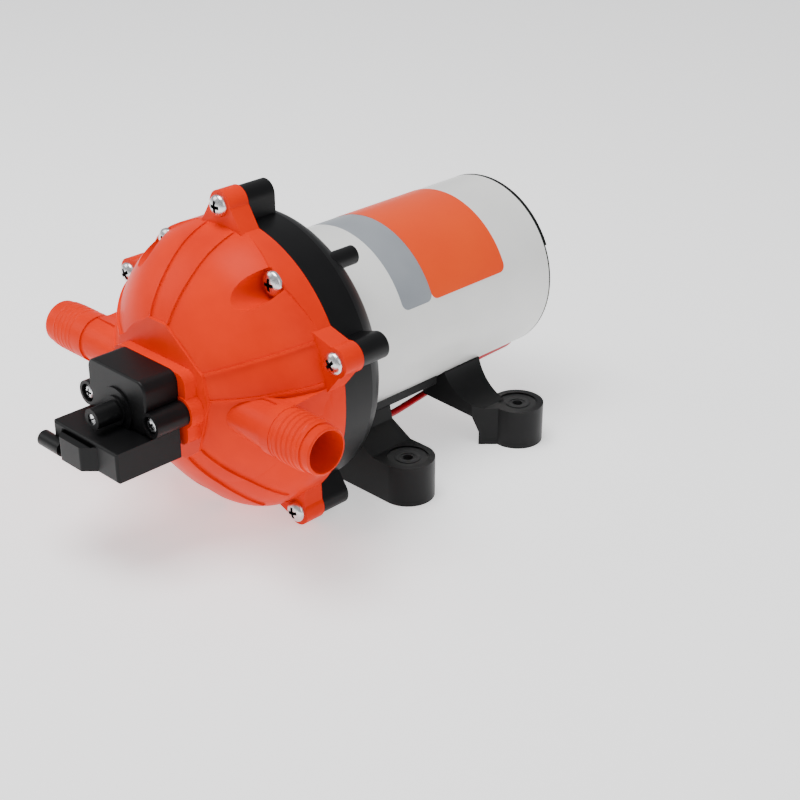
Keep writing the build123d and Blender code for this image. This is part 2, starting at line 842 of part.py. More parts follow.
# Shaft, laminated core, coils and commutator
with BuildPart() as motor_shaft:
    disc(across, shaft_front, shaft_back, shaft_radius)
    chamfer(motor_shaft.edges().group_by(Axis.Y)[0], shaft_radius / 8)
save(motor_shaft, "motor_shaft")

with BuildPart() as armature_core:
    disc(across, core_front, core_back, core_radius, shaft_radius + fit)
    pegs(across, core_front, core_back, slot_ring_radius, slot_radius, core_slots, mode=Mode.SUBTRACT)
    with BuildSketch(across(core_back)):
        with PolarLocations(slot_ring_radius, core_slots, start_angle=tab_angle):
            Rectangle(core_radius, slot_mouth, align=(Align.MIN, Align.CENTER))
    extrude(amount=core_back - core_front, mode=Mode.SUBTRACT)
save(armature_core, "armature_core")

with BuildPart() as armature_coils:
    pegs(across, core_front, core_back, slot_ring_radius, coil_radius, core_slots)
    for front, back in ((coil_front, core_front), (core_back, coil_back)):
        disc(across, front, back, coil_end_outer, coil_end_inner)
    rims = armature_coils.edges().filter_by(GeomType.CIRCLE)
    outer_rims = rims.group_by(Axis.Y)[0] + rims.group_by(Axis.Y)[-1]
    fillet(outer_rims, (coil_end_outer - coil_end_inner) / 4)
save(armature_coils, "armature_coils")

with BuildPart() as commutator:
    disc(across, commutator_front, commutator_back, commutator_radius, shaft_radius + fit)
    with BuildSketch(across(commutator_back)):
        with PolarLocations(commutator_radius - commutator_cut_depth, commutator_bars):
            Rectangle(2 * commutator_cut_depth, commutator_cut, align=(Align.MIN, Align.CENTER))
    extrude(amount=commutator_back - commutator_front, mode=Mode.SUBTRACT)
save(commutator, "commutator")

# Brush gear: a card with two brass holders, above and below the commutator
with BuildPart() as brush_card:
    disc(across, card_front, card_back, plate_rim, card_hole)
    pegs(across, card_front, card_back, bolt_ring_radius, bolt_radius + clearance, 2,
         mode=Mode.SUBTRACT)
save(brush_card, "brush_card")

holder_front = brush_back - brush_depth / 2 - clearance - holder_wall
with BuildPart() as brush_holders:
    for way in (1, -1):
        with BuildSketch(across(card_front)):
            with Locations((0, way * (holder_inner + holder_outer) / 2)):
                Rectangle(brush_width + 2 * (clearance + holder_wall), holder_outer - holder_inner)
        extrude(amount=card_front - holder_front)
        with BuildSketch(across(brush_back + brush_depth / 2 + clearance)):
            with Locations((0, way * (holder_inner + holder_outer) / 2 - way * holder_wall)):
                Rectangle(brush_width + 2 * clearance, holder_outer - holder_inner)
        extrude(amount=brush_depth + 2 * clearance, mode=Mode.SUBTRACT)
save(brush_holders, "brush_holders")

# Each brush slides in its holder and is pushed by its own spring
brush_tip = commutator_radius + clearance
for name, way in (("top", 1), ("bottom", -1)):
    with BuildPart() as brush:
        with BuildSketch(across(brush_back + brush_depth / 2)):
            with Locations((0, way * (commutator_radius + brush_length / 2))):
                Rectangle(brush_width, brush_length)
        extrude(amount=brush_depth)
        disc(across, holder_front, card_front, brush_tip, mode=Mode.SUBTRACT)
    save(brush, "brush_" + name)
    spring_start = commutator_radius + brush_length + spring_wire
    spring_length = holder_outer - holder_wall - spring_wire - spring_start
    foot = Vector(0, seat_y + brush_back, shaft_height + way * spring_start)
    with BuildPart() as brush_spring:
        with BuildLine() as coil:
            Helix(spring_length / spring_turns, spring_length, brush_spring_radius,
                  center=foot, direction=(0, 0, way))
        with BuildSketch(Plane(coil.line @ 0, z_dir=coil.line % 0)):
            RegularPolygon(spring_wire, 6)
        sweep()
    save(brush_spring, "brush_spring_" + name)

# Rear cap: skirt inside the can, stepped flange outside, bearing pocket and lead grommet
with BuildPart() as rear_cap:
    disc(across, card_back, can_back, plate_rim, plate_rim - cap_skirt)
    disc(across, can_back - cap_plate, can_back, plate_rim)
    disc(across, card_back + clearance, can_back, cap_pocket_radius)
    disc(across, can_back, can_back + cap_step, can_radius)
    with BuildSketch(across(can_back + cap_flange)):
        Circle(can_radius)
        with Locations(Rotation(0, 0, cap_step_angle)):
            Rectangle(2 * can_radius, 2 * can_radius, align=(Align.CENTER, Align.MIN),
                      mode=Mode.SUBTRACT)
    extrude(amount=cap_flange - cap_step)
    disc(across, can_back, can_back + cap_boss_height, cap_boss_radius)
    disc(across, card_back, rear_bearing_front + motor_bearing_width, motor_bearing_outer + fit,
         mode=Mode.SUBTRACT)
    disc(across, rear_bearing_front, shaft_back + clearance, shaft_hole, mode=Mode.SUBTRACT)
    pegs(across, card_back, can_back + cap_flange, bolt_ring_radius, bolt_radius, 2,
         mode=Mode.SUBTRACT)
    peg_row(can_back - cap_plate, can_back + cap_flange, grommet_radius,
            [(grommet_x, -grommet_drop)], mode=Mode.SUBTRACT)
save(rear_cap, "rear_cap")

grommet_back = can_back + cap_flange + grommet_length
with BuildPart() as motor_grommet:
    lead_spot = [(grommet_x, -grommet_drop)]
    peg_row(can_back - cap_plate, grommet_back, grommet_radius, lead_spot)
    chamfer(motor_grommet.edges().group_by(Axis.Y)[-1], grommet_radius / 4)
    peg_row(can_back - cap_plate, grommet_back, lead_radius + fit, lead_spot, mode=Mode.SUBTRACT)
save(motor_grommet, "motor_grommet")

bolt_back = can_back + cap_flange
with BuildPart() as through_bolts:
    pegs(across, can_front, bolt_back, bolt_ring_radius, bolt_radius, 2)
    pegs(across, bolt_back, bolt_back + bolt_head_height, bolt_ring_radius, bolt_head, 2)
    fillet(through_bolts.edges().group_by(Axis.Y)[-1], bolt_head_height / 3)
save(through_bolts, "through_bolts")

# Label wrapped over the top of the can
with BuildPart() as can_label:
    with BuildSketch(across(label_back)):
        Circle(can_radius + label_glue + label_thickness)
        Circle(can_radius + label_glue, mode=Mode.SUBTRACT)
        with Locations((0, can_radius * cos(radians(label_half_angle)))):
            Rectangle(3 * can_radius, 3 * can_radius, align=(Align.CENTER, Align.MAX),
                      mode=Mode.SUBTRACT)
    extrude(amount=label_back - label_front)
save(can_label, "can_label")

# Pressure switch body: a block with two ears, a stepped ring and the spring tower
with BuildPart() as switch_body:
    with BuildSketch(across(switch_rear)) as block:
        with Locations((0, (switch_top - box_top) / 2)):
            Rectangle(2 * switch_half_width, switch_top + box_top)
        fillet(block.vertices().group_by(Axis.Z)[-1], switch_corner)
    extrude(amount=switch_rear - switch_front)
    fillet(switch_body.edges().group_by(Axis.Y)[0], switch_edge)
    peg_row(switch_front, ear_end, ear_radius, ear_spots, switch_drop)
    centre = [(0, 0)]
    for radius, steps in ((ring_outer, 1), (ring_inner, 2)):
        peg_row(switch_front - steps * ring_step, switch_front, radius, centre, switch_drop)
    with BuildSketch(across(switch_front, box_top)):
        Rectangle(2 * ring_outer, ring_outer, align=(Align.CENTER, Align.MAX))
    extrude(amount=2 * ring_step, mode=Mode.SUBTRACT)
    peg_row(tower_front, switch_front, spring_tower, centre, switch_drop)
    peg_row(ear_back, switch_rear, diaphragm_flange, centre, switch_drop)
    peg_row(ear_end, switch_rear, ear_boss + clearance, ear_spots, switch_drop, Mode.SUBTRACT)
    # Rooms for the adjusting screw, the spring with its keyed seat and the plunger
    for front, back, radius in (
            (tower_front, spring_room_front, adjuster_radius + fit),
            (spring_room_front, key_room_front, spring_room),
            (key_room_front, switch_rear - switch_diaphragm_width, plunger_radius + clearance),
            (switch_rear - switch_diaphragm_width, switch_rear, switch_diaphragm_radius)):
        peg_row(front, back, radius, centre, switch_drop, Mode.SUBTRACT)
    with BuildSketch(across(key_room_back, switch_drop)):
        Rectangle(2 * (key_reach + clearance), 2 * (key_half + clearance))
    extrude(amount=key_room_back - key_room_front, mode=Mode.SUBTRACT)
    arm_room_front = arm_front - plunger_travel - clearance
    with BuildSketch(across(arm_back + clearance, switch_drop)):
        Rectangle(2 * (arm_half_width + clearance), box_top, align=(Align.CENTER, Align.MAX))
    extrude(amount=arm_back + clearance - arm_room_front, mode=Mode.SUBTRACT)
    peg_row(switch_front, switch_front + ear_bore_depth, ear_bore, ear_spots, switch_drop,
            Mode.SUBTRACT)
    peg_row(switch_front, ear_end, ear_screw_shank, ear_spots, switch_drop, Mode.SUBTRACT)
save(switch_body, "switch_body")

ear_seat = switch_front + ear_bore_depth
pan_screws("switch_screws", ear_seat, ear_spots, ear_screw_head, ear_screw_height,
           ear_screw_shank, ear_screw_reach, switch_drop)

with BuildPart() as switch_diaphragm:
    peg_row(switch_rear - switch_diaphragm_width, switch_rear, switch_diaphragm_radius, centre,
            switch_drop)
save(switch_diaphragm, "switch_diaphragm")

# Adjusting screw held by a collar; its thread moves the keyed seat behind the spring
with BuildPart() as adjusting_screw:
    screw_front = tower_front + adjuster_inset
    collar_front = spring_room_front + clearance
    peg_row(screw_front, collar_front, adjuster_radius, centre, switch_drop)
    peg_row(collar_front, collar_front + collar_width, collar_disc, centre, switch_drop)
    peg_row(collar_front, adjuster_back, adjuster_thread_radius, centre, switch_drop)
    with BuildSketch(across(screw_front + adjuster_slot_depth, switch_drop)):
        Rectangle(2 * adjuster_radius, adjuster_slot, rotation=tab_angle / 3)
    extrude(amount=adjuster_slot_depth, mode=Mode.SUBTRACT)
save(adjusting_screw, "adjusting_screw")

with BuildPart() as spring_seat:
    with BuildSketch(across(seat_back, switch_drop)):
        Circle(seat_radius)
        Rectangle(2 * key_reach, 2 * key_half)
        Circle(adjuster_thread_radius + fit, mode=Mode.SUBTRACT)
    extrude(amount=seat_back - seat_front)
save(spring_seat, "spring_seat")

spring_length = switch_spring_back - seat_back - 2 * spring_wire
foot = Vector(0, seat_y + seat_back + spring_wire, shaft_height - switch_drop)
with BuildPart() as switch_spring:
    with BuildLine() as coil:
        Helix(spring_length / switch_spring_turns, spring_length, switch_spring_radius,
              center=foot, direction=(0, 1, 0))
    with BuildSketch(Plane(coil.line @ 0, z_dir=coil.line % 0)):
        RegularPolygon(spring_wire, 6)
    sweep()
save(switch_spring, "switch_spring")

# Plunger on the switch diaphragm, with a cup for the spring and an arm down to the button
with BuildPart() as plunger:
    peg_row(plunger_front, switch_rear - switch_diaphragm_width - fit, plunger_radius, centre,
            switch_drop)
    with BuildSketch(across(arm_back, switch_drop)):
        Rectangle(2 * arm_half_width, arm_drop - switch_drop, align=(Align.CENTER, Align.MAX))
    extrude(amount=arm_back - arm_front)
    peg_row(plunger_front, plunger_cup_back, plunger_cup, centre, switch_drop, Mode.SUBTRACT)
save(plunger, "plunger")

# Terminal box under the switch, with a front bump and the moulded gland for the supply lead
with BuildPart() as switch_box:
    box_middle = (box_top + box_bottom) / 2
    with BuildSketch(across(ear_back, box_middle)):
        Rectangle(2 * box_half_width, box_bottom - box_top)
    extrude(amount=ear_back - box_front)
    fillet(switch_box.edges().group_by(Axis.Y)[0], box_edge)
    with BuildSketch(level(bump_bottom)):
        slant = box_front - bump_front
        Polygon((-bump_left, box_front + box_wall), (-bump_left, box_front),
                (slant - bump_left, bump_front), (bump_right - slant, bump_front),
                (bump_right, box_front), (bump_right, box_front + box_wall), align=None)
    extrude(amount=bump_bottom - bump_top)
    bump_edges = switch_box.edges().filter_by(Axis.Z).sort_by(Axis.Y)[:2]
    fillet(bump_edges, bump_corner)
    with BuildSketch(level(bump_top + bump_slot_depth)):
        with Locations(((bump_right - bump_left) / 2, box_front - bump_slot / 2)):
            Rectangle(bump_left + bump_right - 2 * bump_corner, bump_slot)
    extrude(amount=bump_slot_depth, mode=Mode.SUBTRACT)
    gland_plane = Plane((-bump_left + box_wall, seat_y + gland_front, shaft_height - gland_drop),
                        x_dir=(0, 1, 0), z_dir=(-1, 0, 0))
    with BuildSketch(gland_plane):
        Circle(gland_radius)
    extrude(amount=gland_reach - bump_left + box_wall)
    with BuildSketch(gland_plane.offset(gland_reach - bump_left + box_wall)):
        Circle(gland_bore)
    extrude(amount=-gland_bore_depth, mode=Mode.SUBTRACT)
    with BuildSketch(across(ear_back, box_middle)):
        Rectangle(2 * (box_half_width - box_wall), box_bottom - box_top - 2 * box_wall)
    extrude(amount=ear_back - box_front - box_wall, mode=Mode.SUBTRACT)
    with BuildSketch(across(arm_back + clearance, box_top)):
        Rectangle(2 * (arm_half_width + clearance), 2 * box_wall + clearance)
    extrude(amount=arm_back + clearance - arm_room_front, mode=Mode.SUBTRACT)
    lead_way = lead_points[1]
    wall_plane = Plane((-box_half_width, seat_y + lead_way[1], shaft_height + lead_way[2]),
                       x_dir=(0, 1, 0), z_dir=(1, 0, 0))
    with BuildSketch(wall_plane):
        Circle(lead_radius + fit)
    extrude(amount=box_wall, mode=Mode.SUBTRACT)
save(switch_box, "switch_box")

with BuildPart() as switch_lid:
    with BuildSketch(across(ear_back, box_middle)):
        Rectangle(2 * (box_half_width - box_wall - fit),
                  box_bottom - box_top - 2 * (box_wall + fit))
    extrude(amount=box_wall)
save(switch_lid, "switch_lid")

# Microswitch with its button and two terminals
micro_bottom = box_bottom - box_wall
with BuildPart() as microswitch:
    with BuildSketch(across(micro_back, (micro_top + micro_bottom) / 2)):
        Rectangle(2 * micro_half_width, micro_bottom - micro_top)
    extrude(amount=micro_back - micro_front)
    peg_row(button_room_front, micro_back, button_radius + clearance, centre, button_drop,
            Mode.SUBTRACT)
save(microswitch, "microswitch")

with BuildPart() as microswitch_button:
    peg_row(button_front, arm_front - clearance, button_radius, centre, button_drop)
save(microswitch_button, "microswitch_button")

with BuildPart() as terminals:
    with BuildSketch(across(micro_front, button_drop)):
        with Locations((terminal_offset, 0), (-terminal_offset, 0)):
            Rectangle(terminal_width, terminal_thickness)
    extrude(amount=terminal_length)
save(terminals, "terminals")

# Base: saddle under the can, hollow front bridge with an arch, two rear legs and four feet
foot_ways = [(x * foot_spacing_x / 2, front_foot_back + y * foot_spacing_y)
             for x in (1, -1) for y in (0, 1)]
foot_top = shaft_height - foot_height


def bridge_profile(inset):
    """Outline of the front bridge across the shaft, drawn in from its top and sides."""
    half = foot_spacing_x / 2 + foot_radius
    right = [(half, -shaft_height), (half, -foot_top - inset),
             (bridge_slope_x, -foot_top - inset), (bridge_knee_x, -bridge_knee_drop - inset),
             (bridge_top_x, -bridge_top_drop - inset)]
    Polygon(*right, *[(-x, z) for x, z in reversed(right)], align=None)


def bridge_plan(radius):
    """The front bridge from above: a long rounded bar through the two front feet."""
    with Locations((0, front_foot_back)):
        SlotCenterToCenter(foot_spacing_x, 2 * radius)


with BuildPart() as bridge_core:
    with BuildSketch(across(front_foot_back + foot_radius)):
        bridge_profile(bridge_wall)
    extrude(amount=2 * foot_radius)
    with BuildSketch(level(shaft_height)) as core_plan:
        bridge_plan(foot_radius - bridge_wall)
    extrude(core_plan.sketch, amount=shaft_height, mode=Mode.INTERSECT)
    with BuildSketch(across(front_foot_back + foot_radius)) as core_room:
        Circle(can_radius + saddle_gap + saddle_wall)
    extrude(core_room.sketch, amount=2 * foot_radius, mode=Mode.SUBTRACT)

with BuildPart() as base:
    with BuildSketch(across(front_foot_back + foot_radius)):
        bridge_profile(0)
    extrude(amount=2 * foot_radius)
    with BuildSketch(level(shaft_height)) as plan:
        bridge_plan(foot_radius)
    extrude(plan.sketch, amount=shaft_height, mode=Mode.INTERSECT)
    add(bridge_core.part, mode=Mode.SUBTRACT)
    with BuildSketch(across(saddle_back)) as saddle:
        Circle(can_radius + saddle_gap + saddle_wall)
        saddle_half = (can_radius + saddle_wall) * sin(radians(saddle_half_angle))
        with Locations((0, -can_radius)):
            Rectangle(2 * saddle_half, 2 * saddle_half, mode=Mode.INTERSECT)
    extrude(saddle.sketch, amount=saddle_back - saddle_front)
    # Rear legs: a concave upper edge runs out to each foot, and the web narrows towards it
    for side in (1, -1):
        with BuildSketch(across(saddle_back)) as leg:
            with BuildLine():
                ThreePointArc((side * leg_arc_x, -leg_arc_drop),
                              (side * leg_waist_x, -leg_waist_drop),
                              (side * leg_foot_x, -foot_top))
                Polyline((side * leg_foot_x, -foot_top),
                         (side * foot_spacing_x / 2, -foot_top),
                         (side * foot_spacing_x / 2, -shaft_height),
                         (side * leg_heel_x, -shaft_height),
                         (side * leg_heel_x, leg_heel_height - shaft_height),
                         (side * leg_knee_x, leg_knee_height - shaft_height),
                         (side * leg_inner_x, -leg_inner_drop), (0, 0),
                         (side * leg_arc_x, -leg_arc_drop))
            make_face()
        extrude(leg.sketch, amount=saddle_back - leg_front)
        with BuildSketch(level(shaft_height)) as nose:
            with BuildLine():
                Polyline((side * leg_inner_x, leg_front),
                         (side * leg_knee_x, (leg_front + leg_foot_front) / 2),
                         (side * foot_spacing_x / 2, leg_foot_front),
                         (side * foot_spacing_x / 2, leg_front), close=True)
            make_face()
        extrude(nose.sketch, amount=shaft_height, mode=Mode.SUBTRACT)
    with BuildSketch(level(shaft_height)) as feet:
        with Locations(*foot_ways):
            Circle(foot_radius)
    extrude(feet.sketch, amount=foot_height)
    # Room for the can, the arch for the lead and the holes
    with BuildSketch(across(saddle_back)) as can_room:
        Circle(can_radius + saddle_gap)
    extrude(can_room.sketch, amount=saddle_back - front_foot_back + foot_radius,
            mode=Mode.SUBTRACT)
    with BuildSketch(across(front_foot_back + foot_radius)) as arch:
        Circle(shaft_height - arch_height)
        with Locations((0, arch_height - shaft_height)):
            Rectangle(2 * arch_half_width, 2 * arch_half_width, mode=Mode.INTERSECT)
        Circle(can_radius + saddle_gap + saddle_wall, mode=Mode.SUBTRACT)
    extrude(arch.sketch, amount=2 * foot_radius, mode=Mode.SUBTRACT)
    with BuildSketch(level(shaft_height)) as holes:
        with Locations(*foot_ways):
            Circle(bush_radius)
    extrude(holes.sketch, amount=foot_height, mode=Mode.SUBTRACT)
    with BuildSketch(level(can_radius + saddle_gap + saddle_wall)) as screw_ways:
        with Locations(*[(0, back) for back in base_screw_stations]):
            Circle(base_screw_radius)
    extrude(screw_ways.sketch, amount=base_screw_reach, mode=Mode.SUBTRACT)
save(base, "base")

with BuildPart() as foot_bushes:
    with BuildSketch(level(shaft_height)) as rubbers:
        with Locations(*foot_ways):
            Circle(bush_radius)
            Circle(foot_hole, mode=Mode.SUBTRACT)
    extrude(rubbers.sketch, amount=foot_height - bush_inset)
save(foot_bushes, "foot_bushes")

with BuildPart() as base_screws:
    screw_seat = can_radius + saddle_gap + saddle_wall
    with BuildSketch(level(screw_seat)) as shanks:
        with Locations(*[(0, back) for back in base_screw_stations]):
            Circle(base_screw_radius)
    extrude(shanks.sketch, amount=base_screw_reach)
    with BuildSketch(level(screw_seat + base_screw_height)) as heads:
        with Locations(*[(0, back) for back in base_screw_stations]):
            Circle(base_screw_head)
    extrude(heads.sketch, amount=base_screw_height)
save(base_screws, "base_screws")

# Seal laid in the head round the valve plate
with BuildPart() as head_seal:
    disc(across, plate_front - seal_section, plate_front, annulus_radius + chamber_wall,
         annulus_radius)
save(head_seal, "head_seal")

# Red lead: from the switch terminal, under the head, through the arch and up to the grommet
with BuildPart() as red_lead:
    with BuildLine() as route:
        FilletPolyline(*[(x, seat_y + back, shaft_height + up) for x, back, up in lead_points],
                       radius=lead_radii)
    with BuildSketch(Plane(route.line @ 0, z_dir=route.line % 0)):
        Circle(lead_radius)
    sweep()
save(red_lead, "red_lead")
lead_length = sum(edge.length for edge in route.edges())
volume_share = red_lead.part.volume / (lead_length * pi * lead_radius ** 2)
print("lead radii", lead_radii, "length", round(lead_length, 1), "volume share",
      round(volume_share, 4))
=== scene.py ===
import json
from math import cos, pi, radians, sin

import bmesh
import bpy
from mathutils import Matrix, Vector


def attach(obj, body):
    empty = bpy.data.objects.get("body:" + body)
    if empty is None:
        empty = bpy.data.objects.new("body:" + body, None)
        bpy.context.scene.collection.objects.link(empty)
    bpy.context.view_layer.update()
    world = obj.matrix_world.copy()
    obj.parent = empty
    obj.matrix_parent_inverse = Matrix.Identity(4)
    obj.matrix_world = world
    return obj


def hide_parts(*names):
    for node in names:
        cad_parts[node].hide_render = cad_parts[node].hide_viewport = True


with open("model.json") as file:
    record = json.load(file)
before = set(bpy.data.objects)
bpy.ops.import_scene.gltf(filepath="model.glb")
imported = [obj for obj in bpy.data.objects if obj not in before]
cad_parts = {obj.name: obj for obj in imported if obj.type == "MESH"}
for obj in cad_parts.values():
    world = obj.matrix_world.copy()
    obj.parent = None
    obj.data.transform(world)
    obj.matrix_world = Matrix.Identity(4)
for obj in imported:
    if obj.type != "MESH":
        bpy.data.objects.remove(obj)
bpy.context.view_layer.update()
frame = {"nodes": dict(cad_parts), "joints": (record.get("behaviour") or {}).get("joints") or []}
nodes = frame["nodes"]
mm = 0.001
# vertices closer than this are welded, in metres for a piece and in millimetres for a part of one
pieceWeld, partWeld = 1e-6, 1e-4
# edges that turn by more degrees than this stay sharp, on smooth pieces and on moulded ones
smoothTurn, mouldedTurn = 40, 35

# the shaft turns about a point that is level with the seats of the tab screws, and the five tabs
# stand round it, the first one on top
shaft = next(joint["pos_m"] for joint in frame["joints"] if joint["name"] == "motor_spin")
pump = {"seatY": shaft[1], "shaftZ": shaft[2], "chambers": 5, "topAngle": 90}


def place(x, back, up):
    # a point from its side place, its distance behind the tab screws and its height over the shaft
    return Vector((x * mm, pump["seatY"] + back * mm, pump["shaftZ"] + up * mm))


def finishPiece(bm, name, material, body, sharpTurn, replaced=()):
    # writes a bmesh to a mesh object that rides on its body
    bmesh.ops.remove_doubles(bm, verts=bm.verts, dist=pieceWeld)
    bmesh.ops.recalc_face_normals(bm, faces=bm.faces)
    mesh = bpy.data.meshes.new(name)
    bm.to_mesh(mesh)
    bm.free()
    mesh.materials.append(material)
    piece = bpy.data.objects.new(name, mesh)
    bpy.context.scene.collection.objects.link(piece)
    mesh.shade_smooth()
    mesh.set_sharp_from_angle(angle=radians(sharpTurn))
    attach(piece, body)
    if replaced:
        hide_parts(*replaced)
    return piece


# materials

def linear(hexColor):
    # sRGB hex to the linear values that the shaders take
    parts = [int(hexColor[i:i + 2], 16) / 255 for i in (1, 3, 5)]
    return tuple(c / 12.92 if c <= 0.04045 else ((c + 0.055) / 1.055) ** 2.4 for c in parts) + (1.0,)


def newMaterial(name, sockets):
    material = bpy.data.materials.new(name)
    material.use_nodes = True
    shader = material.node_tree.nodes["Principled BSDF"]
    for socket, value in sockets.items():
        shader.inputs[socket].default_value = value
    return material, shader


def addNode(material, kind, settings, links):
    # one node with its settings, and links from other nodes' outputs to its sockets
    node = material.node_tree.nodes.new(kind)
    for key, value in settings.items():
        if key in node.inputs:
            node.inputs[key].default_value = value
        else:
            setattr(node, key, value)
    for socket, source in links.items():
        material.node_tree.links.new(source, node.inputs[socket])
    return node


# how fine each noise is, and where its two tones begin and end
pattern = {"cloudDetail": 3.0, "grainDetail": 2.0, "streakDetail": 4.0,
           "cloudEdges": (0.3, 0.7), "streakEdges": (0.35, 0.65)}


def tintAndGloss(material, shader, noise, edges, look):
    # one noise moves the colour between two tones and the roughness between two values
    tint = addNode(material, "ShaderNodeValToRGB", {}, {"Fac": noise})
    for element, edge, tone in zip(tint.color_ramp.elements, edges, ("darker", "lighter")):
        element.position = edge
        element.color = linear(look[tone])
    gloss = addNode(material, "ShaderNodeMapRange",
                    {"To Min": look["roughness"][0], "To Max": look["roughness"][1]},
                    {"Value": noise})
    material.node_tree.links.new(tint.outputs["Color"], shader.inputs["Base Color"])
    material.node_tree.links.new(gloss.outputs["Result"], shader.inputs["Roughness"])


# what a moulded material has unless its own look says otherwise: a plain shine, no coat, no depth
plainLook = {"shine": 0.5, "coat": 0.0, "coatRoughness": 0.2, "depth": 0.0, "depthSize": 1.0}


def mouldedPlastic(name, ownLook):
    # injection-moulded plastic: one body colour with faint flow clouds and a fine spark-eroded grain,
    # usually about 0.1 mm, which is drawn as coarse as it needs to show
    look = {**plainLook, **ownLook}
    material, shader = newMaterial(name, {
        "IOR": look["ior"], "Specular IOR Level": look["shine"],
        "Coat Weight": look["coat"], "Coat Roughness": look["coatRoughness"],
        "Subsurface Weight": look["depth"], "Subsurface Scale": look["depthSize"] * mm})
    coords = addNode(material, "ShaderNodeTexCoord", {}, {}).outputs["Object"]
    clouds = addNode(material, "ShaderNodeTexNoise",
                     {"Scale": 1 / (look["cloudSize"] * mm), "Detail": pattern["cloudDetail"]},
                     {"Vector": coords})
    tintAndGloss(material, shader, clouds.outputs["Fac"], pattern["cloudEdges"], look)
    grain = addNode(material, "ShaderNodeTexNoise",
                    {"Scale": 1 / (look["grainSize"] * mm), "Detail": pattern["grainDetail"]},
                    {"Vector": coords})
    relief = addNode(material, "ShaderNodeBump",
                     {"Strength": look["grainStrength"], "Distance": look["grainDepth"] * mm},
                     {"Height": grain.outputs["Fac"]})
    material.node_tree.links.new(relief.outputs["Normal"], shader.inputs["Normal"])
    return material


def metal(name, look):
    # turned, stamped or plated metal: fine streaks in its roughness, a trace of stain in its colour.
    # Tool marks under 0.1 mm are too fine to show, so they are drawn coarser, and the stretch says
    # how many times finer they are along each axis
    material, shader = newMaterial(name, {"Metallic": 1.0})
    coords = addNode(material, "ShaderNodeTexCoord", {}, {}).outputs["Object"]
    stretched = addNode(material, "ShaderNodeMapping", {"Scale": look["stretch"]},
                        {"Vector": coords})
    streaks = addNode(material, "ShaderNodeTexNoise",
                      {"Scale": 1 / (look["streakSize"] * mm), "Detail": pattern["streakDetail"]},
                      {"Vector": stretched.outputs["Vector"]})
    tintAndGloss(material, shader, streaks.outputs["Fac"], pattern["streakEdges"], look)
    return material


# glass-filled nylon of the pump head: saturated orange with a broad satin shine
orangeHead = mouldedPlastic("mouldedOrangeNylon", {
    "darker": "#DC2600", "lighter": "#EA2E00", "roughness": (0.3, 0.4), "ior": 1.46,
    "cloudSize": 26, "grainSize": 0.35, "grainStrength": 0.25, "grainDepth": 0.05,
    "shine": 0.08})
# black glass-filled nylon of the housing, feet and switch: a soft grey sheen on a fine grain
blackPlastic = mouldedPlastic("mouldedBlackNylon", {
    "darker": "#070708", "lighter": "#0C0C0D", "roughness": (0.34, 0.46), "ior": 1.45,
    "cloudSize": 18, "grainSize": 0.4, "grainStrength": 0.35, "grainDepth": 0.06,
    "shine": 0.25})
# acetal of the valve plate and wobble plate: milky white, slightly waxy
whiteAcetal = mouldedPlastic("mouldedAcetal", {
    "darker": "#D8D6CE", "lighter": "#E6E4DC", "roughness": (0.3, 0.4), "ior": 1.48,
    "cloudSize": 14, "grainSize": 0.4, "grainStrength": 0.2, "grainDepth": 0.04,
    "depth": 0.1, "depthSize": 1.0})
# pressed rubber of the foot bushes, valves and seals: near black and dull
blackRubber = mouldedPlastic("mouldedRubber", {
    "darker": "#101011", "lighter": "#1B1B1C", "roughness": (0.6, 0.75), "ior": 1.52,
    "cloudSize": 7, "grainSize": 0.5, "grainStrength": 0.4, "grainDepth": 0.08})
# extruded insulation of the lead: bright red and smooth
redInsulation = mouldedPlastic("extrudedRedInsulation", {
    "darker": "#B4001A", "lighter": "#C8001E", "roughness": (0.25, 0.32), "ior": 1.53,
    "cloudSize": 12, "grainSize": 0.6, "grainStrength": 0.1, "grainDepth": 0.03})
# powder-coated motor can: warm white with a faint orange peel
whiteCan = mouldedPlastic("powderCoatedCan", {
    "darker": "#E9E9E6", "lighter": "#F2F2EF", "roughness": (0.26, 0.34), "ior": 1.5,
    "cloudSize": 40, "grainSize": 1.1, "grainStrength": 0.12, "grainDepth": 0.05,
    "coat": 0.2, "coatRoughness": 0.18})
# screen-printed orange film of the label: an even colour under a soft shine
orangeFilm = mouldedPlastic("printedOrangeFilm", {
    "darker": "#ED4204", "lighter": "#F14A06", "roughness": (0.3, 0.38), "ior": 1.5,
    "cloudSize": 30, "grainSize": 0.5, "grainStrength": 0.06, "grainDepth": 0.02,
    "shine": 0.25})
# printed silver film of the strip in front of the orange panel: an even mid grey
silverFilm = mouldedPlastic("printedSilverFilm", {
    "darker": "#888D93", "lighter": "#94999F", "roughness": (0.32, 0.4), "ior": 1.5,
    "cloudSize": 30, "grainSize": 0.5, "grainStrength": 0.06, "grainDepth": 0.02})
# zinc-plated steel of the screws: bright silver with faint clouds
brightScrew = metal("zincPlatedSteel", {
    "darker": "#D2D3D5", "lighter": "#ECEDEE", "roughness": (0.2, 0.3),
    "stretch": (1.0, 1.0, 1.0), "streakSize": 1.2})
# steel of a screw's cross recess drawn dark and dull: painted shade, standing in for the shade that
# falls deep inside the recess
paintedShadeRecess = metal("paintedShadeRecessSteel", {
    "darker": "#1E1E20", "lighter": "#3A3A3C", "roughness": (0.45, 0.6),
    "stretch": (1.0, 1.0, 1.0), "streakSize": 0.8})
# ground steel of the shaft, bearings and springs: mid grey with fine rings round the shaft
groundSteel = metal("groundSteel", {
    "darker": "#8F9296", "lighter": "#A8ABAF", "roughness": (0.25, 0.4),
    "stretch": (1.0, 6.0, 1.0), "streakSize": 1.5})
# varnished lamination sheets of the armature: dark grey with the stripes of their stack
coreSteel = metal("varnishedLaminations", {
    "darker": "#3A3B3E", "lighter": "#5A5C60", "roughness": (0.35, 0.55),
    "stretch": (0.05, 1.0, 0.05), "streakSize": 0.7})
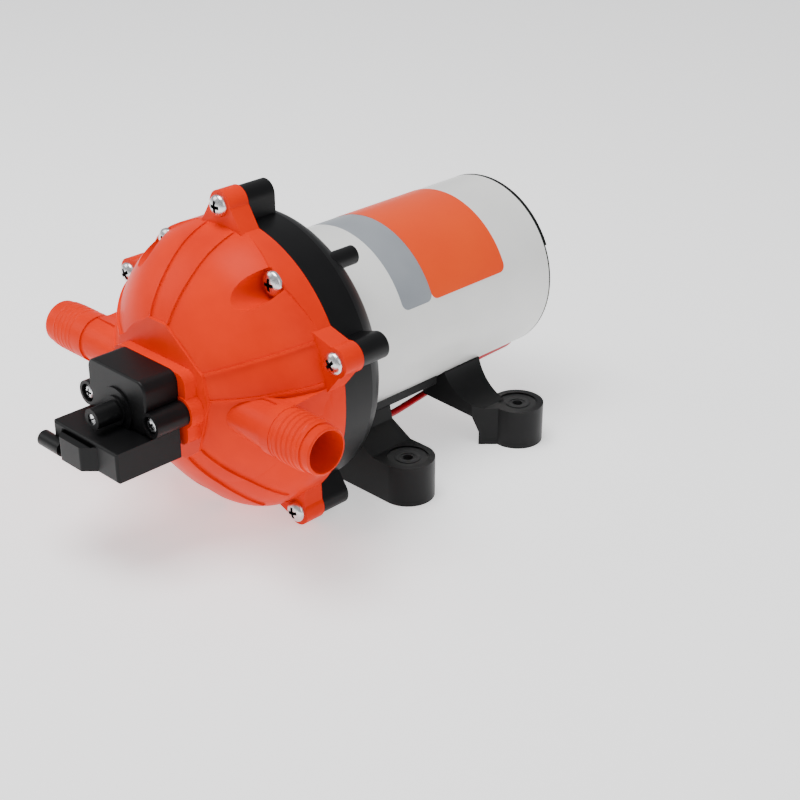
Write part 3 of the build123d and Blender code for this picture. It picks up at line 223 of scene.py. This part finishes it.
# enamelled winding wire: red-brown and glossy, with tones that run along it
copperWire = metal("enamelledCopper", {
    "darker": "#8A3B14", "lighter": "#C26A2E", "roughness": (0.25, 0.4),
    "stretch": (1.0, 0.2, 1.0), "streakSize": 0.8})
# stamped brass of the holders, terminals, commutator and spring seat: warm yellow, a little dulled
stampedBrass = metal("stampedBrass", {
    "darker": "#A8843C", "lighter": "#CBA75A", "roughness": (0.22, 0.38),
    "stretch": (1.0, 1.0, 1.0), "streakSize": 3.0})
# sintered ferrite of the magnets and pressed carbon of the brushes: charcoal grey, dull and grainy
darkFerrite = mouldedPlastic("sinteredFerrite", {
    "darker": "#232427", "lighter": "#303236", "roughness": (0.5, 0.65), "ior": 1.8,
    "cloudSize": 5, "grainSize": 0.5, "grainStrength": 0.4, "grainDepth": 0.06})

# the CAD nodes that wear each material
dressed = [
    (orangeHead, "pump_head"),
    (whiteAcetal, "valve_plate pistons wobble_plate plunger"),
    (blackRubber, "inlet_valves outlet_valve head_seal diaphragm diaphragm_pads motor_grommet"),
    (blackRubber, "switch_diaphragm foot_bushes"),
    (blackPlastic, "housing brush_card rear_cap switch_body switch_box switch_lid microswitch base"),
    (brightScrew, "tab_screws channel_screws motor_screws through_bolts switch_screws"),
    (brightScrew, "base_screws piston_screws adjusting_screw"),
    (groundSteel, "front_plate front_bearing rear_bearing brush_spring_top brush_spring_bottom"),
    (groundSteel, "cam motor_shaft cam_bearing switch_spring"),
    (stampedBrass, "brush_holders terminals commutator spring_seat"),
    (darkFerrite, "magnets brush_top brush_bottom microswitch_button"),
    (whiteCan, "motor_can"),
    (orangeFilm, "can_label"),
    (redInsulation, "red_lead"),
    (coreSteel, "armature_core"),
    (copperWire, "armature_coils"),
]
for material, names in dressed:
    for name in names.split():
        nodes[name].data.materials.clear()
        nodes[name].data.materials.append(material)
print("materials:", len({material.name for material, names in dressed}), "on the CAD nodes")


def ringSpots(radius, angles):
    # places on a circle round the shaft, as side place and height over the shaft
    return [(radius * cos(radians(angle)), radius * sin(radians(angle))) for angle in angles]


def spinRound(bm, points, steps):
    # turns a profile of radii and heights about the local Z axis
    verts = [bm.verts.new((radius, 0, height)) for radius, height in points]
    edges = [bm.edges.new(pair) for pair in zip(verts, verts[1:])]
    bmesh.ops.spin(bm, geom=verts + edges, cent=(0, 0, 0), axis=(0, 0, 1), angle=2 * pi,
                   steps=steps, use_merge=True)


def addPart(bm, part, placing):
    # scales a part from millimetres, puts it in its place and joins it to the piece
    bmesh.ops.transform(part, matrix=placing @ Matrix.Scale(mm, 4), verts=part.verts)
    mesh = bpy.data.meshes.new("part")
    part.to_mesh(mesh)
    part.free()
    bm.from_mesh(mesh)
    bpy.data.meshes.remove(mesh)


def addCrossScrew(bm, seat, outward, twist, look):
    # pan-head screw with a plain shank and a pointed tip, its head along outward
    part = bmesh.new()
    radius, height = look["headRadius"], look["headHeight"]
    rimHeight = height * look["edgeShare"]
    slopes = [pi / 2 * i / look["domeRings"] for i in range(look["domeRings"] + 1)]
    dome = [(radius * sin(slope), rimHeight + (height - rimHeight) * cos(slope)) for slope in slopes]
    core, length = look["shankRadius"], look["shankLength"]
    shank = [(radius, 0), (core, 0), (core, core - length), (0, -length)]
    spinRound(part, dome + shank, look["segments"])
    bmesh.ops.remove_doubles(part, verts=part.verts, dist=partWeld)
    # the cross recess: the crown is cut along the cross, whose faces then sink to a narrower floor
    arm, half = look["recessArm"], look["recessHalf"]
    for normal in (Vector((1, 0, 0)), Vector((0, 1, 0))):
        for offset in (-arm, -half, half, arm):
            crown = [face for face in part.faces if face.calc_center_median().z > height / 2]
            edges = {edge for face in crown for edge in face.edges}
            bmesh.ops.bisect_plane(part, geom=crown + list(edges), dist=partWeld,
                                   plane_co=normal * offset, plane_no=normal)
    cross = []
    for face in part.faces:
        middle = face.calc_center_median()
        narrow, wide = sorted((abs(middle.x), abs(middle.y)))
        if middle.z > height / 2 and narrow < half and wide < arm:
            cross.append(face)
    sunk = bmesh.ops.extrude_face_region(part, geom=cross)["geom"]
    for vert in [item for item in sunk if isinstance(item, bmesh.types.BMVert)]:
        vert.co.xy *= look["recessTaper"]
        vert.co.z = height - look["recessDepth"]
        # the walls and floor of the recess take the second material, whose dark colour is painted
        # shade
        for face in vert.link_faces:
            face.material_index = 1
    bmesh.ops.delete(part, geom=[face for face in cross if face.is_valid], context="FACES_ONLY")
    turn = outward.to_track_quat("Z", "Y").to_matrix().to_4x4()
    addPart(bm, part, Matrix.Translation(seat) @ turn @ Matrix.Rotation(radians(twist), 4, "Z"))


def finishScrews(bm, name, replaced):
    # bright heads, with a second, darker material in their recesses that is painted shade
    screws = finishPiece(bm, name, brightScrew, "pump", smoothTurn, (replaced,))
    screws.data.materials.append(paintedShadeRecess)


# screws of the head: five in the tabs and three in the channels between them
forward = Vector((0, -1, 0))
channelScrew = {"headRadius": 5.4, "headHeight": 3.2, "edgeShare": 0.22, "domeRings": 10,
                "recessArm": 2.7, "recessHalf": 0.75, "recessDepth": 2.6, "recessTaper": 0.7,
                "shankRadius": 2.1, "shankLength": 23.0, "segments": 48, "twistStep": 34,
                "ringRadius": 56.4, "angles": (54, 126, 270), "seat": -1.6}
tabScrew = {**channelScrew, "headRadius": 4.7, "recessArm": 2.5, "ringRadius": 69.0, "seat": 0,
            "angles": [pump["topAngle"] + 360 / pump["chambers"] * i
                       for i in range(pump["chambers"])]}
for look, name, node in ((tabScrew, "tabScrewSet", "tab_screws"),
                         (channelScrew, "channelScrewSet", "channel_screws")):
    bm = bmesh.new()
    for i, (side, up) in enumerate(ringSpots(look["ringRadius"], look["angles"])):
        addCrossScrew(bm, place(side, look["seat"], up), forward, look["twistStep"] * i, look)
    finishScrews(bm, name, node)

# two screws through the ears of the switch
earScrew = {"headRadius": 3.3, "headHeight": 1.8, "edgeShare": 0.25, "domeRings": 7,
            "recessArm": 1.8, "recessHalf": 0.5, "recessDepth": 1.5, "recessTaper": 0.7,
            "shankRadius": 1.6, "shankLength": 21.4, "segments": 36, "side": 20.6,
            "seat": -54.8, "drop": -1.6, "twists": (40.6, -0.6)}
bm = bmesh.new()
for way, twist in zip((1, -1), earScrew["twists"]):
    addCrossScrew(bm, place(way * earScrew["side"], earScrew["seat"], earScrew["drop"]), forward,
                  twist, earScrew)
finishScrews(bm, "switchScrewSet", "switch_screws")
print("cross-recess screws:",
      len(tabScrew["angles"]) + len(channelScrew["angles"]) + len(earScrew["twists"]))

# pipe threads that stand on the plain sleeves of the two ports
thread = {"length": 16.8, "root": 10.2, "pitch": 2.8, "flat": 0.5, "flank": 2.0,
          "back": -22.2, "up": -2.2, "stepsPerTurn": 60}
ports = [{"name": "outletThread", "way": 1, "start": 62.4, "crest": 10.95},
         {"name": "inletThread", "way": -1, "start": 66.4, "crest": 10.65}]
for port in ports:
    bm = bmesh.new()
    start, end = port["start"], port["start"] + thread["length"]
    foot, tip = thread["flank"] / 2, thread["flat"] / 2
    profile = [(thread["root"], -foot), (port["crest"], -tip), (port["crest"], tip),
               (thread["root"], foot)]
    section = bm.faces.new([bm.verts.new((radius, 0, start + along)) for radius, along in profile])
    turns = thread["length"] / thread["pitch"]
    steps = int(turns * thread["stepsPerTurn"])
    bmesh.ops.spin(bm, geom=[section], cent=(0, 0, 0), axis=(0, 0, 1), angle=2 * pi * turns,
                   dvec=(0, 0, thread["length"] / steps), steps=steps)
    # both ends run out into the sleeve over one turn
    for vert in bm.verts:
        radius = Vector(vert.co.xy).length
        fade = min(1, max(0, min(vert.co.z - start, end - vert.co.z) / thread["pitch"]))
        faded = thread["root"] + (radius - thread["root"]) * fade
        vert.co.xy = Vector(vert.co.xy) * faded / radius
    turn = Vector((port["way"], 0, 0)).to_track_quat("Z", "Y").to_matrix().to_4x4()
    bmesh.ops.transform(bm, matrix=Matrix.Translation(place(0, thread["back"], thread["up"]))
                        @ turn @ Matrix.Scale(mm, 4), verts=bm.verts)
    finishPiece(bm, port["name"], orangeHead, "pump", mouldedTurn)
print("port threads:", len(ports))

# label round the can: a silver strip and an orange panel, both without print
label = {"canRadius": 42.1, "glue": 0.05, "thickness": 0.2, "lowerAngle": 20, "corner": 3.5,
         "cellsAlong": 10, "cellsRound": 96}
sheets = [{"name": "labelStrip", "film": silverFilm, "front": 64.8, "back": 82.9, "lift": 0,
           "replaced": ()},
          {"name": "labelPanel", "film": orangeFilm, "front": 82.8, "back": 130.2, "lift": 0.12,
           "replaced": ("can_label",)}]
for sheet in sheets:
    bm = bmesh.new()
    bmesh.ops.create_grid(bm, x_segments=label["cellsAlong"], y_segments=label["cellsRound"], size=1)
    radius = label["canRadius"] + label["glue"] + sheet["lift"]
    halfTurn = radians(pump["topAngle"] - label["lowerAngle"])
    middle, halfLength = (sheet["front"] + sheet["back"]) / 2, (sheet["back"] - sheet["front"]) / 2
    corner = label["corner"]
    for vert in bm.verts:
        # near its two ends the sheet gets shorter along a quarter circle, which rounds the corners
        across = sin(vert.co.y * pi / 2)
        fromEnd = min(corner, (1 - abs(across)) * halfTurn * radius)
        inset = corner - (corner ** 2 - (corner - fromEnd) ** 2) ** 0.5
        station = middle + vert.co.x * (halfLength - inset)
        angle = across * halfTurn
        vert.co = place(radius * sin(angle), station, radius * cos(angle))
    bmesh.ops.recalc_face_normals(bm, faces=bm.faces)
    bmesh.ops.solidify(bm, geom=bm.faces[:], thickness=-label["thickness"] * mm)
    finishPiece(bm, sheet["name"], sheet["film"], "pump", smoothTurn, sheet["replaced"])
print("label:", len(sheets), "sheets")

# moulded collars round the holes of the four rubber foot bushes
bush = {"innerRadius": 3.4, "outerRadius": 5.6, "edge": 0.3, "seat": 17.9, "sunk": 0.2,
        "rise": 0.5, "shoulder": 0.35, "spacingX": 104, "spacingY": 73, "segments": 48}
collar = [(bush["innerRadius"], -bush["sunk"]), (bush["innerRadius"], bush["shoulder"]),
          (bush["innerRadius"] + bush["edge"], bush["rise"]),
          (bush["outerRadius"] - bush["edge"], bush["rise"]),
          (bush["outerRadius"], bush["shoulder"]), (bush["outerRadius"], -bush["sunk"])]
holes = [(x, y) for x in (bush["spacingX"] / 2, -bush["spacingX"] / 2)
         for y in (bush["spacingY"] / 2, -bush["spacingY"] / 2)]
bm = bmesh.new()
for x, y in holes:
    part = bmesh.new()
    spinRound(part, collar, bush["segments"])
    addPart(bm, part, Matrix.Translation(Vector((x, y, bush["seat"])) * mm))
finishPiece(bm, "bushCollars", blackRubber, "pump", mouldedTurn)
print("bush collars:", len(holes))

# floor, lights and camera

studio = {
    "floorSize": 6.0, "floorColor": "#F4F4F4", "floorRoughness": 0.9, "floorGlow": 0.8,
    "skyColor": "#F6F7FA", "skyStrength": 0.5,
    "cameraPlace": (0.4619, -0.4576, 0.3466), "cameraTurn": (62.9, 0.0, 44.56),
    "lens": 69.6, "sensor": 36.0,
}
softboxes = [
    {"name": "topSoftbox", "spot": (-0.1, -0.25, 1.1), "target": (0, 0, 0.05),
     "width": 0.6, "height": 0.6, "watts": 12},
    {"name": "leftSoftbox", "spot": (-0.9, -0.7, 0.7), "target": (0, -0.05, 0.06),
     "width": 0.6, "height": 0.6, "watts": 3},
    {"name": "rightSoftbox", "spot": (1.0, -0.2, 0.6), "target": (0, 0, 0.06),
     "width": 0.6, "height": 0.8, "watts": 2},
]
bm = bmesh.new()
bmesh.ops.create_grid(bm, x_segments=1, y_segments=1, size=studio["floorSize"] / 2)
floorMesh = bpy.data.meshes.new("studioFloor")
bm.to_mesh(floorMesh)
bm.free()
floor = bpy.data.objects.new("studioFloor", floorMesh)
bpy.context.scene.collection.objects.link(floor)
# the paper glows a little, as a sweep lit from below does
paper, paperShader = newMaterial("palePaper", {
    "Roughness": studio["floorRoughness"], "Base Color": linear(studio["floorColor"]),
    "Emission Color": linear(studio["floorColor"]), "Emission Strength": studio["floorGlow"]})
floorMesh.materials.append(paper)

world = bpy.data.worlds.new("softStudio")
world.use_nodes = True
sky = world.node_tree.nodes["Background"]
sky.inputs["Color"].default_value = linear(studio["skyColor"])
sky.inputs["Strength"].default_value = studio["skyStrength"]
bpy.context.scene.world = world

for box in softboxes:
    light = bpy.data.lights.new(box["name"], "AREA")
    light.shape = "RECTANGLE"
    light.size = box["width"]
    light.size_y = box["height"]
    light.energy = box["watts"]
    holder = bpy.data.objects.new(box["name"], light)
    holder.location = box["spot"]
    aim = Vector(box["target"]) - Vector(box["spot"])
    holder.rotation_euler = aim.to_track_quat("-Z", "Y").to_euler()
    bpy.context.scene.collection.objects.link(holder)

camera = bpy.data.objects.new("photoCamera", bpy.data.cameras.new("photoCamera"))
camera.data.lens = studio["lens"]
camera.data.sensor_width = studio["sensor"]
camera.location = studio["cameraPlace"]
camera.rotation_euler = [radians(angle) for angle in studio["cameraTurn"]]
bpy.context.scene.collection.objects.link(camera)
bpy.context.scene.camera = camera
print("studio set")
